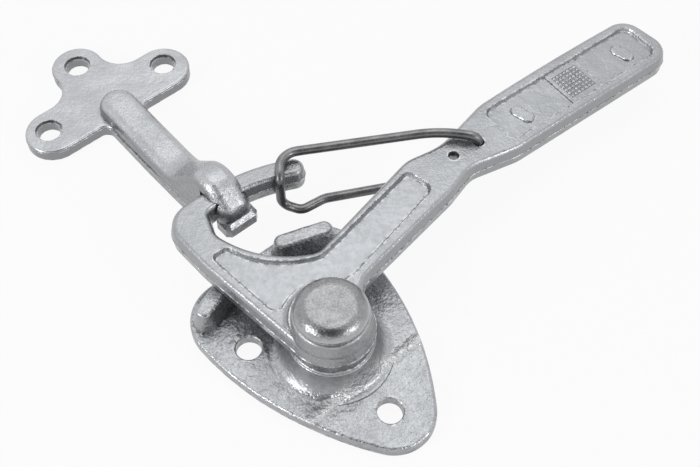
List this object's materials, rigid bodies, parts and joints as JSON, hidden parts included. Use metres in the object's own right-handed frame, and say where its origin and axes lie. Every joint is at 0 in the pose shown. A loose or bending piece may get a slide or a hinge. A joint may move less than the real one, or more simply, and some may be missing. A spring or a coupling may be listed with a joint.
{
  "type": "trailer drop side latch",
  "caption": "Lever latch for a trailer drop side: a hooked lever on a riveted base plate draws on a gooseneck keeper, with a spring wire gate.",
  "frame": {"origin": "on the pivot axis, on the mounting plane at the base plate's back", "axes": "+Z along the pivot axis, out of the mounting plane towards the rivet's head; +X along the longest extent, towards the grip's side; the keeper lies towards -X and +Y"},
  "size_m": [0.2508, 0.1793, 0.0355],
  "materials": {
    "base_plate": "galvanised forged steel",
    "pivot_rivet": "galvanised steel, hammered",
    "latch_lever": "galvanised forged steel",
    "gate_spring": "satin spring steel",
    "keeper": "galvanised forged steel"
  },
  "bodies": {
    "mount": {"base_plate": "base_plate", "pivot_rivet": "pivot_rivet", "keeper": "keeper"},
    "lever": {"latch_lever": "latch_lever"},
    "gate": {"gate_spring": "gate_spring"}
  },
  "joints": [
    {"name": "lever_pivot", "type": "hinge", "parent": "mount", "child": "lever", "pos_m": [0, 0, 0], "axis": [0, 0, 1], "range_deg": [0, 42], "deforming": ["gate_spring"]},
    {"name": "gate", "type": "hinge", "parent": "lever", "child": "gate", "pos_m": [0.05385, 0.07684, 0.023], "axis": [0, 0, 1], "range_deg": [0, 6.5], "stiffness_Nm_per_rad": 2, "deforming": ["gate_spring"]}
  ]
}
